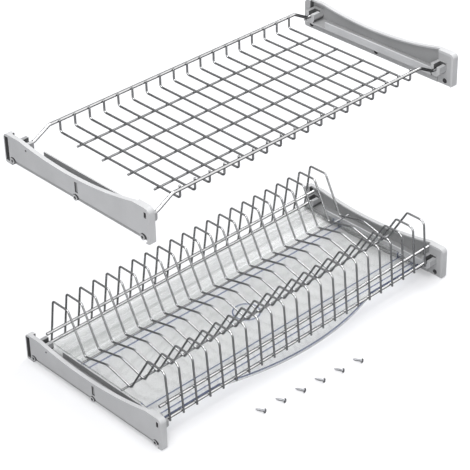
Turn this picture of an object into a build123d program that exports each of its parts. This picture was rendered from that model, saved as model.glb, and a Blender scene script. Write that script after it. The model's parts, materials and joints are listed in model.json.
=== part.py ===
"""Cabinet dish drainer: a plate rack over a pull-out drip tray, and a glass rack above it.

Each rack hangs by its rail ends in the cradles of two side brackets, which are screwed to the
side walls of a wall cupboard. X runs along the cupboard, the front is at -Y and Z is up.
"""

import os
from math import atan2, cos, radians, sin, sqrt, tan

from build123d import *

# Cupboard and tiers
clear_width = 564.0  # between the side walls of a cupboard 600 mm wide
tier_rise = 320.0  # from the base of the lower brackets to the base of the upper ones

# Side bracket, seen from the wall face inwards
bracket_back_height = 43.0
bracket_front_height = 50.0
bracket_waist_height = 35.0
bracket_web = 3.0
bracket_rim_width = 6.0
bracket_rim_height = 2.5
bracket_flange_width = 10.0
bracket_back_land = 32.0
bracket_front_land = 30.0
bracket_top_radius = 7.0
bracket_bottom_radius = 3.0
column_depth = 11.0
end_block_depth = 27.0
column_wall = 1.8
column_pocket_depth = 7.5
column_pocket_height = 35.0
base_rail_height = 11.0
ledge_underside = 16.0
ledge_thickness = 2.0
guide_thickness = 2.0
guide_inset = 22.0  # from the rear cradle to the start of the guide wall
runner_reach = 3.5
runner_thickness = 3.0
panel_border = 4.0
panel_depth = 0.8

# Screw holes of a bracket
hole_spacing = 128.0
hole_margin = 14.0
hole_height = 6.0
hole_radius = 2.1
head_seat_radius = 3.8
head_seat_depth = 3.5
boss_radius = 4.2
recess_radius = 6.5
recess_shift = 2.5
recess_depth = 5.0
band_height = 9.0

# Small features of the wall face
slot_depth = 2.0
key_slot_width = 5.5
key_slot_height = 15.0
key_slot_base = 15.0
key_slot_shift = 4.0
pin_hole_radius = 1.5
pin_hole_reach = 46.0
pin_hole_height = 34.0
stop_slot_width = 4.0
stop_slot_height = 8.0
stop_slot_base = 36.0
stop_slot_margin = 7.0
stop_slot_depth = 5.0

# Cradles that hold the rail ends
rail_height = 27.0
rear_rail_reach = 24.0
front_rail_inset = 20.0
cradle_width = 16.0
cradle_reach = 24.0
cradle_slot_depth = 13.0
cradle_rise = 10.0
cradle_front_drop = 3.0
cradle_clearance = 0.3
cradle_end_radius = 3.0

# Wires
rail_diameter = 4.5
wire_diameter = 3.0
weld_gap = 0.03
wall_gap = 12.0  # from the cupboard wall to the end of a rail

# Plate rack
plate_wires = 22
plate_end_gap = 30.0  # from the cupboard wall to the first wire
rear_hoop_top = 98.0
front_hoop_top = 101.0
rear_leg_lean = 9.0
front_leg_lean = 4.5
hoop_width = 32.5
foot_height = 36.5
rear_slope_run = 31.0
front_slope_run = 38.5
arch_height = 48.5
hoop_corner_radius = 4.5
hoop_front_radius = 9.0
foot_radius = 4.0
valley_radius = 4.0
arch_radius = 15.0
floor_wire_offset = 6.5
rear_upper_height = 45.5
front_upper_height = 51.5
stub_length = 12.0

# Glass rack
glass_wires = 18
glass_end_gap = 71.2
glass_rail_height = 41.0
glass_floor_height = 25.7
glass_tip_rise = 2.5
glass_bend_radius = 4.0
glass_floor_wires = 4
glass_floor_pitch = 50.0
glass_stub = 6.0
rail_kink_gap = 15.0
rail_slope_run = 26.0
rail_bend_radius = 8.0

# Drip tray
tray_thickness = 1.8
tray_side_gap = 0.6
tray_runner_gap = 0.3
tray_guide_gap = 3.6
tray_rim_gap = 1.15
tray_rear_gap = 7.0
tray_front_gap = 4.0
tray_depth = 13.4
tray_fold_shares = (0.315, 0.56, 0.83, 0.945)  # of the tray's length, from the rear
tray_drop_shares = (0.79, 1.0, 0.79, 0.49)  # of its depth, at the same folds
tray_pull_length = 300.0
tray_pull_depth = 26.0
tray_lip_height = 3.0
tray_rib_count = 5
tray_rib_pitch = 12.0
tray_rib_height = 0.8
tray_rib_width = 2.4
drain_ring_radius = 21.0
drain_ring_width = 2.0
drain_ring_height = 1.2

# Loose mounting screws, lying in a row on the surface in front
screw_count = 6
screw_length = 16.0
screw_radius = 1.75
screw_head_radius = 3.3
screw_head_height = 2.2
screw_point_length = 4.0
screw_row_start = 40.0
screw_row_reach = 340.0
screw_row_pitch = 34.4
screw_row_drift = 3.4
screw_yaw = 17.0
screw_slot_width = 0.9
screw_slot_length = 3.8
screw_slot_depth = 1.1

# Worked-out places
overrun = 5.0
wall_x = clear_width / 2
rail_radius = rail_diameter / 2
wire_radius = wire_diameter / 2
bracket_depth = 2 * (hole_spacing + hole_margin)
front_rail_reach = bracket_depth - front_rail_inset
screw_rim = screw_head_height / 2
screw_shank_end = screw_length - screw_point_length
screw_tilt = atan2(screw_head_radius - screw_radius, screw_shank_end - screw_rim)
screw_level = cos(radians(screw_yaw)) * cos(screw_tilt)
screw_overhang = screw_head_radius * sqrt(1 - screw_level**2)
total_depth = screw_row_reach + screw_overhang
back_y = total_depth / 2
rail_end_x = wall_x - wall_gap
rear_rail_y = back_y - rear_rail_reach
front_rail_y = back_y - front_rail_reach

os.makedirs("parts", exist_ok=True)


def save(piece, name):
    """Labels a finished piece and writes it as its own file."""
    piece.label = name
    export_step(piece, f"parts/{name}.step")


def wall_plane(base, inset=0.0):
    """The YZ plane of the left wall face, its X axis along +Y from the back of the bracket."""
    return Plane(origin=(-wall_x + inset, back_y, base), x_dir=(0, 1, 0), z_dir=(1, 0, 0))


def end_corners(sketch):
    """The four outer corners of a bracket outline, the two lower ones first."""
    corners = sketch.vertices().filter_by(lambda v: v.X in (0, -bracket_depth))
    return corners.sort_by(Axis.Y)


def make_left_bracket(base):
    """One left-hand bracket standing at the given height."""
    hole_reaches = [hole_margin + hole_spacing * n for n in range(3)]
    column_span = bracket_depth - column_depth - end_block_depth
    guide_start = front_rail_reach - cradle_width / 2
    column_middle = -(column_depth + bracket_depth - end_block_depth) / 2
    with BuildPart() as bracket:
        with BuildSketch(wall_plane(base)) as web:
            with BuildLine():
                front_land = Line((-bracket_depth, bracket_front_height),
                                  (bracket_front_land - bracket_depth, bracket_front_height))
                ThreePointArc(front_land @ 1,
                              (-bracket_depth / 2, bracket_waist_height),
                              (-bracket_back_land, bracket_back_height))
                Polyline((-bracket_back_land, bracket_back_height), (0, bracket_back_height),
                         (0, 0), (-bracket_depth, 0), (-bracket_depth, bracket_front_height))
            make_face()
            fillet(end_corners(web.sketch_local)[:2], bracket_bottom_radius)
            fillet(web.vertices().group_by(Axis.X)[0].sort_by(Axis.Y)[-1], bracket_top_radius)
            fillet(web.vertices().group_by(Axis.X)[-1].sort_by(Axis.Y)[-1], bracket_top_radius)
        extrude(amount=bracket_web)
        # Thick ends and base rail, inside the same outline
        with BuildSketch(wall_plane(base)):
            add(web.sketch_local)
            with Locations((column_middle, base_rail_height)):
                Rectangle(column_span, bracket_front_height,
                          align=(Align.CENTER, Align.MIN), mode=Mode.SUBTRACT)
        extrude(amount=bracket_flange_width)
        # Rim along the top edge
        with BuildSketch(wall_plane(base)):
            add(web.sketch_local)
            add(Pos(0, -bracket_rim_height) * web.sketch_local, mode=Mode.SUBTRACT)
            with Locations((0, -bracket_rim_height)):
                Rectangle(bracket_depth, bracket_rim_height + base_rail_height,
                          align=(Align.MAX, Align.MIN), mode=Mode.SUBTRACT)
        extrude(amount=bracket_rim_width)
        # Shallow panel in the thick front end, open to the back and below
        with BuildSketch(wall_plane(base, bracket_flange_width)) as panel:
            with Locations((panel_border - bracket_depth, bracket_front_height - panel_border)):
                Rectangle(end_block_depth - panel_border, bracket_front_height,
                          align=(Align.MIN, Align.MAX))
            fillet(panel.vertices().sort_by(Axis.Z)[-2:].sort_by(Axis.Y)[0],
                   bracket_top_radius - panel_border)
        extrude(amount=-panel_depth, mode=Mode.SUBTRACT)
        # Ledge over the tray's flange, and the guide wall along its inner edge
        with BuildSketch(wall_plane(base, bracket_web)):
            with Locations((column_middle, ledge_underside)):
                Rectangle(column_span, ledge_thickness, align=(Align.CENTER, Align.MIN))
        extrude(amount=cradle_reach - bracket_web)
        with BuildSketch(wall_plane(base, cradle_reach - guide_thickness)):
            with Locations((-guide_start, ledge_underside)):
                Rectangle(guide_start - rear_rail_reach - cradle_width / 2 - guide_inset,
                          rail_height - ledge_underside, align=(Align.MIN, Align.MIN))
        extrude(amount=guide_thickness)
        # Runner that carries the tray
        with BuildSketch(wall_plane(base, bracket_flange_width)):
            with Locations((column_middle, base_rail_height - runner_thickness)):
                Rectangle(column_span, runner_thickness, align=(Align.CENTER, Align.MIN))
        extrude(amount=runner_reach)
        # Cradles with a round belly and an open-topped slot for the rail end
        for reach in (rear_rail_reach, front_rail_reach):
            belly = rail_height - (rail_radius + cradle_clearance)
            with BuildSketch(wall_plane(base, bracket_web)):
                with Locations((-reach, belly)):
                    Circle(cradle_width / 2)
                    Rectangle(cradle_width, cradle_rise, align=(Align.CENTER, Align.MIN))
            extrude(amount=cradle_reach - bracket_web)
            with BuildSketch(wall_plane(base, cradle_reach - cradle_slot_depth)):
                with Locations((-reach, rail_height)):
                    Circle(rail_radius + cradle_clearance)
                    Rectangle(rail_diameter + 2 * cradle_clearance, cradle_rise + overrun,
                              align=(Align.CENTER, Align.MIN))
            extrude(amount=cradle_slot_depth + overrun, mode=Mode.SUBTRACT)
            with BuildSketch(wall_plane(base, cradle_reach - cradle_slot_depth)):
                with Locations((-reach, belly + cradle_rise - cradle_front_drop)):
                    Rectangle(cradle_width, cradle_front_drop + overrun,
                              align=(Align.MAX, Align.MIN))
            extrude(amount=cradle_slot_depth + overrun, mode=Mode.SUBTRACT)
        # Hollow back column, open to the wall
        with BuildSketch(wall_plane(base)):
            with Locations((-column_depth / 2, (bracket_back_height - column_pocket_height) / 2)):
                Rectangle(column_depth - 2 * column_wall, column_pocket_height,
                          align=(Align.CENTER, Align.MIN))
        extrude(amount=column_pocket_depth, mode=Mode.SUBTRACT)
        # Recessed band along the base, with a pocket beside each boss
        with BuildSketch(wall_plane(base)):
            with Locations((-hole_margin, 0)):
                Rectangle(2 * hole_spacing, band_height, align=(Align.MAX, Align.MIN))
            with Locations([(-(reach + recess_shift), hole_height) for reach in hole_reaches]):
                Circle(recess_radius)
            with Locations([(-reach, hole_height) for reach in hole_reaches]):
                Circle(boss_radius, mode=Mode.SUBTRACT)
        extrude(amount=recess_depth, mode=Mode.SUBTRACT)
        # Key slot, pin hole and stop slot
        with BuildSketch(wall_plane(base)):
            with Locations((-(hole_reaches[1] + key_slot_shift), key_slot_base)):
                Rectangle(key_slot_width, key_slot_height, align=(Align.CENTER, Align.MIN))
            with Locations((-pin_hole_reach, pin_hole_height)):
                Circle(pin_hole_radius)
        extrude(amount=slot_depth, mode=Mode.SUBTRACT)
        with BuildSketch(wall_plane(base)):
            with Locations((stop_slot_margin - bracket_depth, stop_slot_base)):
                Rectangle(stop_slot_width, stop_slot_height, align=(Align.CENTER, Align.MIN))
        extrude(amount=stop_slot_depth, mode=Mode.SUBTRACT)
        # Screw holes, with a seat for the head on the inner side
        with BuildSketch(wall_plane(base)):
            with Locations([(-reach, hole_height) for reach in hole_reaches]):
                Circle(hole_radius)
        extrude(amount=bracket_flange_width + runner_reach, mode=Mode.SUBTRACT)
        with BuildSketch(wall_plane(base, bracket_flange_width - head_seat_depth)):
            with Locations([(-reach, hole_height) for reach in hole_reaches]):
                Circle(head_seat_radius)
        extrude(amount=head_seat_depth + runner_reach + overrun, mode=Mode.SUBTRACT)
    return bracket.part


def round_wire(points, radii, radius):
    """A round wire along straight runs joined by bends, one radius for each bend."""
    with BuildPart() as wire:
        with BuildLine() as path:
            if radii:
                FilletPolyline(*points, radius=radii)
            else:
                Line(*points)
        with BuildSketch(Plane(origin=path.line @ 0, z_dir=path.line % 0)):
            Circle(radius)
        sweep()
    return wire.part


def straight_wire(half_length, y, z, radius):
    """A straight wire along X, centred on the middle of the part."""
    return round_wire([(-half_length, y, z), (half_length, y, z)], [], radius)


# Brackets
for tier, base in (("lower", 0.0), ("upper", tier_rise)):
    with BuildPart() as left_bracket:
        add(make_left_bracket(base))
    save(left_bracket.part, f"{tier}_left_bracket")
    with BuildPart() as right_bracket:
        mirror(left_bracket.part, about=Plane.YZ)
    save(right_bracket.part, f"{tier}_right_bracket")

# Rails of the plate rack, inside the legs of the wires
thick_weld = rail_radius + wire_radius + weld_gap
thin_weld = wire_diameter + weld_gap
rear_slope = tan(radians(rear_leg_lean))
front_slope = tan(radians(front_leg_lean))


def rear_leg_y(z):
    """Where the middle of a rear leg is at height z."""
    return rear_rail_y + thick_weld / cos(radians(rear_leg_lean)) - (z - rail_height) * rear_slope


def front_leg_y(z):
    """Where the middle of a front leg is at height z."""
    return front_rail_y - thick_weld / cos(radians(front_leg_lean)) + (z - rail_height) * front_slope


plate_half_row = wall_x - plate_end_gap
plate_pitch = 2 * plate_half_row / (plate_wires - 1)
stub_x = plate_half_row + stub_length
leg_foot = rail_height - rail_radius
save(straight_wire(rail_end_x, rear_rail_y, rail_height, rail_radius), "plate_rack_rear_rail")
save(straight_wire(rail_end_x, front_rail_y, rail_height, rail_radius), "plate_rack_front_rail")

rear_upper_y = rear_leg_y(rear_upper_height) - thick_weld / cos(radians(rear_leg_lean))
front_upper_y = front_leg_y(front_upper_height) + thick_weld / cos(radians(front_leg_lean))
save(straight_wire(stub_x, rear_upper_y, rear_upper_height, rail_radius),
     "plate_rack_rear_upper_wire")
save(straight_wire(stub_x, front_upper_y, front_upper_height, rail_radius),
     "plate_rack_front_upper_wire")

# Floor wires of the plate rack, under the slopes on both sides of the arch
rear_top_y = rear_leg_y(rear_hoop_top)
front_top_y = front_leg_y(front_hoop_top)
foot_y = rear_top_y - hoop_width - rear_slope_run
valley_y = front_top_y + hoop_width + front_slope_run
arch_y = (foot_y + valley_y) / 2
arch_rise = (arch_height - foot_height) / (foot_y - arch_y)
floor_wire_drop = thin_weld * sqrt(1 + arch_rise**2)
floor_wire_z = foot_height + floor_wire_offset * arch_rise - floor_wire_drop
save(straight_wire(stub_x, foot_y - floor_wire_offset, floor_wire_z, wire_radius),
     "plate_rack_rear_floor_wire")
save(straight_wire(stub_x, valley_y + floor_wire_offset, floor_wire_z, wire_radius),
     "plate_rack_front_floor_wire")

# Plate wires, each bent into two hoops with an arch between them
for number in range(plate_wires):
    x = number * plate_pitch - plate_half_row
    outline = [
        (rear_leg_y(leg_foot), leg_foot),
        (rear_top_y, rear_hoop_top),
        (rear_top_y - hoop_width, rear_hoop_top),
        (foot_y, foot_height),
        (arch_y, arch_height),
        (valley_y, foot_height),
        (front_top_y + hoop_width, front_hoop_top),
        (front_top_y, front_hoop_top),
        (front_leg_y(leg_foot), leg_foot),
    ]
    bends = [hoop_corner_radius, hoop_corner_radius, foot_radius, arch_radius,
             valley_radius, hoop_corner_radius, hoop_front_radius]
    save(round_wire([(x, y, z) for y, z in outline], bends, wire_radius),
         f"plate_wire_{number + 1:02d}")

# Rails of the glass rack, bent down at both ends into the cradles
glass_half_row = wall_x - glass_end_gap
glass_pitch = 2 * glass_half_row / (glass_wires - 1)
kink_x = glass_half_row + rail_kink_gap
slope_end_x = kink_x + rail_slope_run
for place, y in (("rear", rear_rail_y), ("front", front_rail_y)):
    low, high = tier_rise + rail_height, tier_rise + glass_rail_height
    route = [(-rail_end_x, low), (-slope_end_x, low), (-kink_x, high),
             (kink_x, high), (slope_end_x, low), (rail_end_x, low)]
    save(round_wire([(x, y, z) for x, z in route], [rail_bend_radius] * 4, rail_radius),
         f"glass_rack_{place}_rail")

# Floor wires of the glass rack, under its cross wires
middle_y = (rear_rail_y + front_rail_y) / 2
glass_floor_z = tier_rise + glass_floor_height
for number in range(glass_floor_wires):
    y = middle_y + glass_floor_pitch * ((glass_floor_wires - 1) / 2 - number)
    save(straight_wire(glass_half_row + glass_stub, y, glass_floor_z - thin_weld, wire_radius),
         f"glass_rack_floor_wire_{number + 1}")

# Cross wires of the glass rack, turned up inside both rails
arm_top = tier_rise + glass_rail_height + glass_tip_rise
for number in range(glass_wires):
    x = number * glass_pitch - glass_half_row
    route = [(rear_rail_y - thick_weld, arm_top), (rear_rail_y - thick_weld, glass_floor_z),
             (front_rail_y + thick_weld, glass_floor_z), (front_rail_y + thick_weld, arm_top)]
    save(round_wire([(x, y, z) for y, z in route], [glass_bend_radius] * 2, wire_radius),
         f"glass_wire_{number + 1:02d}")

# Drip tray: a folded floor between two side walls, with a flange that runs on each bracket
tray_half = wall_x - bracket_flange_width - tray_side_gap
basin_half = wall_x - cradle_reach - tray_guide_gap
flange_base = base_rail_height + tray_runner_gap
rear_tray_y = back_y - column_depth - tray_rear_gap
front_tray_y = back_y - bracket_depth + end_block_depth + tray_front_gap
tray_length = rear_tray_y - front_tray_y
tray_rim_height = rail_height - rail_radius - tray_rim_gap
folds = [(rear_tray_y - along * tray_length, tray_rim_height - drop * tray_depth)
         for along, drop in zip(tray_fold_shares, tray_drop_shares)]
floor_line = [(rear_tray_y, tray_rim_height), *folds, (front_tray_y, folds[-1][1])]
with BuildPart() as drip_tray:
    # Folded floor
    with BuildSketch(Plane.YZ.offset(-basin_half)):
        underside = [(y, height - tray_thickness) for y, height in reversed(floor_line)]
        with BuildLine():
            Polyline(*floor_line, *underside, close=True)
        make_face()
    extrude(amount=2 * basin_half)
    # Side walls and flanges
    for side in (-1, 1):
        with BuildSketch(Plane.YZ.offset(side * basin_half)):
            with BuildLine():
                Polyline((rear_tray_y, flange_base), (rear_tray_y, tray_rim_height),
                         (folds[-2][0], tray_rim_height), folds[-1],
                         (front_tray_y, folds[-1][1]),
                         (front_tray_y, flange_base), close=True)
            make_face()
            with BuildLine():
                Polyline(*floor_line[:-1], (folds[-2][0], tray_rim_height), close=True)
            make_face()
        extrude(amount=-side * tray_thickness)
        with BuildSketch(Plane.XY.offset(flange_base)):
            with Locations((side * (basin_half + tray_half) / 2, (rear_tray_y + front_tray_y) / 2)):
                Rectangle(tray_half - basin_half, rear_tray_y - front_tray_y)
        extrude(amount=tray_thickness)
    # Bowed pull lip at the middle of the front
    lip_base = folds[-1][1] - tray_thickness
    pull_end = tray_pull_length / 2
    with BuildSketch(Plane.XY.offset(lip_base)):
        with BuildLine():
            ThreePointArc((-pull_end, front_tray_y), (0, front_tray_y - tray_pull_depth),
                          (pull_end, front_tray_y))
            Line((pull_end, front_tray_y), (-pull_end, front_tray_y))
        make_face()
    extrude(amount=tray_thickness)
    with BuildSketch(Plane.XY.offset(lip_base)):
        with BuildLine():
            rim = ThreePointArc((-pull_end, front_tray_y), (0, front_tray_y - tray_pull_depth),
                                (pull_end, front_tray_y))
            inner = ThreePointArc((pull_end, front_tray_y + tray_thickness),
                                  (0, front_tray_y - tray_pull_depth + tray_thickness),
                                  (-pull_end, front_tray_y + tray_thickness))
            Line(rim @ 1, inner @ 0)
            Line(inner @ 1, rim @ 0)
        make_face()
    extrude(amount=tray_thickness + tray_lip_height)
    for side in (-1, 1):
        with BuildSketch(Plane.XY.offset(lip_base)):
            with Locations((side * (pull_end + basin_half) / 2, front_tray_y)):
                Rectangle(basin_half - pull_end, tray_thickness, align=(Align.CENTER, Align.MIN))
        extrude(amount=tray_thickness + tray_lip_height)
    # Ribs across the rear slope
    rear_fall = (tray_rim_height - folds[0][1]) / (rear_tray_y - folds[0][0])
    half_rib = tray_rib_width / 2
    for number in range(tray_rib_count):
        reach = tray_rib_pitch * (number + 1)
        level = tray_rim_height - rear_fall * reach
        with BuildSketch(Plane.YZ.offset(-basin_half)):
            with BuildLine():
                Polyline((rear_tray_y - reach - half_rib, level - tray_rib_height),
                         (rear_tray_y - reach, level + tray_rib_height),
                         (rear_tray_y - reach + half_rib, level - tray_rib_height), close=True)
            make_face()
        extrude(amount=2 * basin_half)
    # Round drain ring in the deepest fold
    with BuildSketch(Plane.XY.offset(folds[1][1] - tray_thickness / 2)):
        with Locations((0, folds[1][0])):
            Circle(drain_ring_radius)
            Circle(drain_ring_radius - drain_ring_width, mode=Mode.SUBTRACT)
    extrude(amount=tray_thickness / 2 + drain_ring_height)
save(drip_tray.part, "drip_tray")

# Mounting screws, resting on the rim of the head and the end of the thread
with BuildPart() as screw:
    with BuildSketch(Plane.XZ):
        with BuildLine():
            Polyline((0, 0), (screw_head_radius, 0), (screw_head_radius, screw_rim),
                     (screw_radius, screw_head_height), (screw_radius, screw_shank_end),
                     (0, screw_length), close=True)
        make_face()
    revolve(axis=Axis.Z)
    with BuildSketch(Plane.XY):
        Rectangle(screw_slot_length, screw_slot_width)
        Rectangle(screw_slot_width, screw_slot_length)
    extrude(amount=screw_slot_depth, mode=Mode.SUBTRACT)
head_lift = screw_head_radius * cos(screw_tilt) + screw_rim * sin(screw_tilt)
screw_axis = (-sin(radians(screw_yaw)) * cos(screw_tilt), screw_level, -sin(screw_tilt))
with BuildPart() as mounting_screws:
    for number in range(screw_count):
        head_x = screw_row_start - number * screw_row_pitch
        head_y = back_y - screw_row_reach + number * screw_row_drift
        add(Plane(origin=(head_x, head_y, head_lift), z_dir=screw_axis).location * screw.part)
save(mounting_screws.part, "mounting_screws")
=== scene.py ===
"""Looks of the cabinet dish drainer: chromed wire racks, grey moulded brackets and a clear drip tray.

Every size is in metres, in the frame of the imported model: X along the cupboard, front at -Y, Z up.
"""

import json
import logging
import math
from dataclasses import dataclass, field
from enum import Enum
from typing import Any, Callable, Sequence

import bmesh
import bpy
from mathutils import Matrix, Vector
from mathutils.bvhtree import BVHTree

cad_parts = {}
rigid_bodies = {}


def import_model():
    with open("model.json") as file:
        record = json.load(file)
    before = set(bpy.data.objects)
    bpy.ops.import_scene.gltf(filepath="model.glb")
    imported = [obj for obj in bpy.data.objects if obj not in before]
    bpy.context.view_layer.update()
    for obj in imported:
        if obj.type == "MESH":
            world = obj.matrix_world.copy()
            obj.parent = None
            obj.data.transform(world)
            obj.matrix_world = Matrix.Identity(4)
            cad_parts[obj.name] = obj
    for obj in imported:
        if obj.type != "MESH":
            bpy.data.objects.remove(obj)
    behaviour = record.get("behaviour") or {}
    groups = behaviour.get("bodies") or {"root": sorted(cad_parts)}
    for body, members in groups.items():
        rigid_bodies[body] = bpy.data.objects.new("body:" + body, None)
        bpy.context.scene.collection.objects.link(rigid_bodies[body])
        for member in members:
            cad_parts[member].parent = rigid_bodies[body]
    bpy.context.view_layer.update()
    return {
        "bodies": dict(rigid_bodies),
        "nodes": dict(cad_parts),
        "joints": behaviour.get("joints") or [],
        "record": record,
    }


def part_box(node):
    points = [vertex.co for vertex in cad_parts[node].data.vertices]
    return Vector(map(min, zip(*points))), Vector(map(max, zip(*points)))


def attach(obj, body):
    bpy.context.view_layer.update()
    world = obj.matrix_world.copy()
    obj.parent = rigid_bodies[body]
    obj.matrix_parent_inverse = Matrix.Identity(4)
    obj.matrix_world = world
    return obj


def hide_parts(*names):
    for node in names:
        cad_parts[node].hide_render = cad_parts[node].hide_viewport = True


LOG = logging.getLogger("dish_drainer")
# Face attribute with each face's share of blocked rays, which the bracket finish turns into painted
# shade.
PAINTED_SHADE_ATTRIBUTE = "pocket"
MM = 0.001
WHITE = (1.0, 1.0, 1.0)
PLASTIC_IOR = 1.46
Point = tuple[float, float]
Triple = tuple[float, float, float]


class Slot(Enum):
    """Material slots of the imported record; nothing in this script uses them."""

    BRACKET = "bracket"
    WIRE = "wire"
    TRAY = "tray"
    SCREW = "screw"


class Body(Enum):
    """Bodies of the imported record."""

    BRACKETS = "brackets"
    GLASS_RACK = "glass_rack"
    PLATE_RACK = "plate_rack"
    TRAY = "drip_tray"


# Node tree helpers


@dataclass
class Sheet:
    """A node tree with short calls for adding and joining nodes."""

    tree: bpy.types.NodeTree

    def add(self, kind: str, **values: Any) -> bpy.types.Node:
        """Adds a node.

        Args:
            kind: Blender's name for the node's type.
            values: Properties of the node, by name.

        Returns:
            The new node.
        """
        node = self.tree.nodes.new(kind)
        for name, value in values.items():
            setattr(node, name, value)
        return node

    def join(self, source: bpy.types.NodeSocket, target: bpy.types.NodeSocket) -> None:
        """Links an output to an input."""
        self.tree.links.new(source, target)

    def math(self, operation: str, *terms: Any) -> bpy.types.NodeSocket:
        """Adds a Math node.

        Args:
            operation: The node's operation.
            terms: Sockets or numbers for its inputs, in order.

        Returns:
            The node's output.
        """
        node = self.add("ShaderNodeMath", operation=operation)
        for socket, term in zip(node.inputs, terms):
            if isinstance(term, bpy.types.NodeSocket):
                self.join(term, socket)
            else:
                socket.default_value = term
        return node.outputs[0]

    def axes(self, output: str = "Object") -> bpy.types.bpy_prop_collection:
        """Adds texture coordinates, split along their axes.

        Args:
            output: Which coordinates.

        Returns:
            The outputs X, Y and Z.
        """
        place = self.add("ShaderNodeTexCoord")
        split = self.add("ShaderNodeSeparateXYZ")
        self.join(place.outputs[output], split.inputs[0])
        return split.outputs

    def spread(self, value: bpy.types.NodeSocket, start: float, end: float,
               low: float = 0.0, high: float = 1.0, **values: Any) -> bpy.types.NodeSocket:
        """Maps a value from one range to another and stops at its ends.

        Args:
            value: The value.
            start: Start of its range.
            end: End of its range.
            low: Result at the start.
            high: Result at the end.
            values: Properties of the node, by name.

        Returns:
            The mapped value.
        """
        node = self.add("ShaderNodeMapRange", **values)
        self.join(value, node.inputs["Value"])
        for name, limit in zip(("From Min", "From Max", "To Min", "To Max"), (start, end, low, high)):
            node.inputs[name].default_value = limit
        return node.outputs[0]

    def blend(self, mask: bpy.types.NodeSocket, first: Any, second: Any) -> bpy.types.NodeSocket:
        """Mixes two colours by a mask.

        Args:
            mask: From 0 for the first colour to 1 for the second.
            first: Linear red, green and blue, or a socket.
            second: Linear red, green and blue, or a socket.

        Returns:
            The mixed colour.
        """
        mix = self.add("ShaderNodeMix", data_type="RGBA")
        self.join(mask, mix.inputs["Factor"])
        for name, colour in (("A", first), ("B", second)):
            if isinstance(colour, bpy.types.NodeSocket):
                self.join(colour, mix.inputs[name])
            else:
                mix.inputs[name].default_value = (*colour, 1.0)
        return mix.outputs["Result"]


def new_group(name: str, kind: str, inputs: dict[str, str],
              outputs: dict[str, str]) -> tuple[Sheet, bpy.types.Node, bpy.types.Node]:
    """Starts a node group.

    Args:
        name: The group's name.
        kind: Blender's name for the type of tree.
        inputs: Kinds of its inputs, by name.
        outputs: Kinds of its outputs, by name.

    Returns:
        The group's sheet, its input node and its output node.
    """
    tree = bpy.data.node_groups.new(name, kind)
    for way, sockets in (("INPUT", inputs), ("OUTPUT", outputs)):
        for socket, value in sockets.items():
            tree.interface.new_socket(name=socket, in_out=way, socket_type="NodeSocket" + value)
    sheet = Sheet(tree)
    return sheet, sheet.add("NodeGroupInput"), sheet.add("NodeGroupOutput")


# Shader groups shared by the finishes


def patchy_group(detail: float = 4.0, roughness: float = 0.55, start: float = 0.3,
                 end: float = 0.7) -> bpy.types.NodeTree:
    """A soft, slowly changing mask, as from handling and drying, between a low and a high value.

    Args:
        detail: Octaves of the noise.
        roughness: How much the finer octaves add.
        start: Noise value where the mask is 0.
        end: Noise value where the mask is 1.

    Returns:
        The group, with inputs Scale, Low and High and outputs Mask and Value.
    """
    name = "Patchy value"
    if name in bpy.data.node_groups:
        return bpy.data.node_groups[name]
    sheet, inner, outer = new_group(
        name, "ShaderNodeTree", {"Scale": "Float", "Low": "Float", "High": "Float"},
        {"Mask": "Float", "Value": "Float"})
    place = sheet.add("ShaderNodeTexCoord")
    noise = sheet.add("ShaderNodeTexNoise")
    noise.inputs["Detail"].default_value = detail
    noise.inputs["Roughness"].default_value = roughness
    sheet.join(place.outputs["Object"], noise.inputs["Vector"])
    sheet.join(inner.outputs["Scale"], noise.inputs["Scale"])
    mask = sheet.spread(noise.outputs[0], start, end)
    reach = sheet.math("SUBTRACT", inner.outputs["High"], inner.outputs["Low"])
    sheet.join(mask, outer.inputs["Mask"])
    sheet.join(sheet.math("MULTIPLY_ADD", mask, reach, inner.outputs["Low"]), outer.inputs["Value"])
    return sheet.tree


def grain_group(detail: float = 2.0) -> bpy.types.NodeTree:
    """A fine even grain, as on a spark-eroded mould or a plated wire.

    Args:
        detail: Octaves of the noise.

    Returns:
        The group, with inputs Scale and Sharpness and outputs Mask and Height.
    """
    name = "Fine grain"
    if name in bpy.data.node_groups:
        return bpy.data.node_groups[name]
    sheet, inner, outer = new_group(
        name, "ShaderNodeTree", {"Scale": "Float", "Sharpness": "Float"},
        {"Mask": "Float", "Height": "Float"})
    place = sheet.add("ShaderNodeTexCoord")
    fine = sheet.add("ShaderNodeTexNoise")
    fine.inputs["Detail"].default_value = detail
    cells = sheet.add("ShaderNodeTexVoronoi")
    for texture in (fine, cells):
        sheet.join(place.outputs["Object"], texture.inputs["Vector"])
        sheet.join(inner.outputs["Scale"], texture.inputs["Scale"])
    mixed = sheet.math("MULTIPLY", fine.outputs[0], cells.outputs["Distance"])
    height = sheet.math("POWER", mixed, inner.outputs["Sharpness"])
    sheet.join(fine.outputs[0], outer.inputs["Mask"])
    sheet.join(height, outer.inputs["Height"])
    return sheet.tree


def new_material(name: str) -> tuple[bpy.types.Material, Sheet, bpy.types.Node]:
    """Makes an empty node material.

    Args:
        name: The material's name.

    Returns:
        The material, its node sheet and its Principled shader.
    """
    material = bpy.data.materials.new(name)
    material.use_nodes = True
    return material, Sheet(material.node_tree), material.node_tree.nodes["Principled BSDF"]


def place_group(sheet: Sheet, group: bpy.types.NodeTree, **values: float) -> bpy.types.Node:
    """Places a shader group in a material with its own values.

    Args:
        sheet: The material's nodes.
        group: The group.
        values: Input values, by name.

    Returns:
        The group node.
    """
    node = sheet.add("ShaderNodeGroup", node_tree=group)
    for name, value in values.items():
        node.inputs[name].default_value = value
    return node


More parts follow.
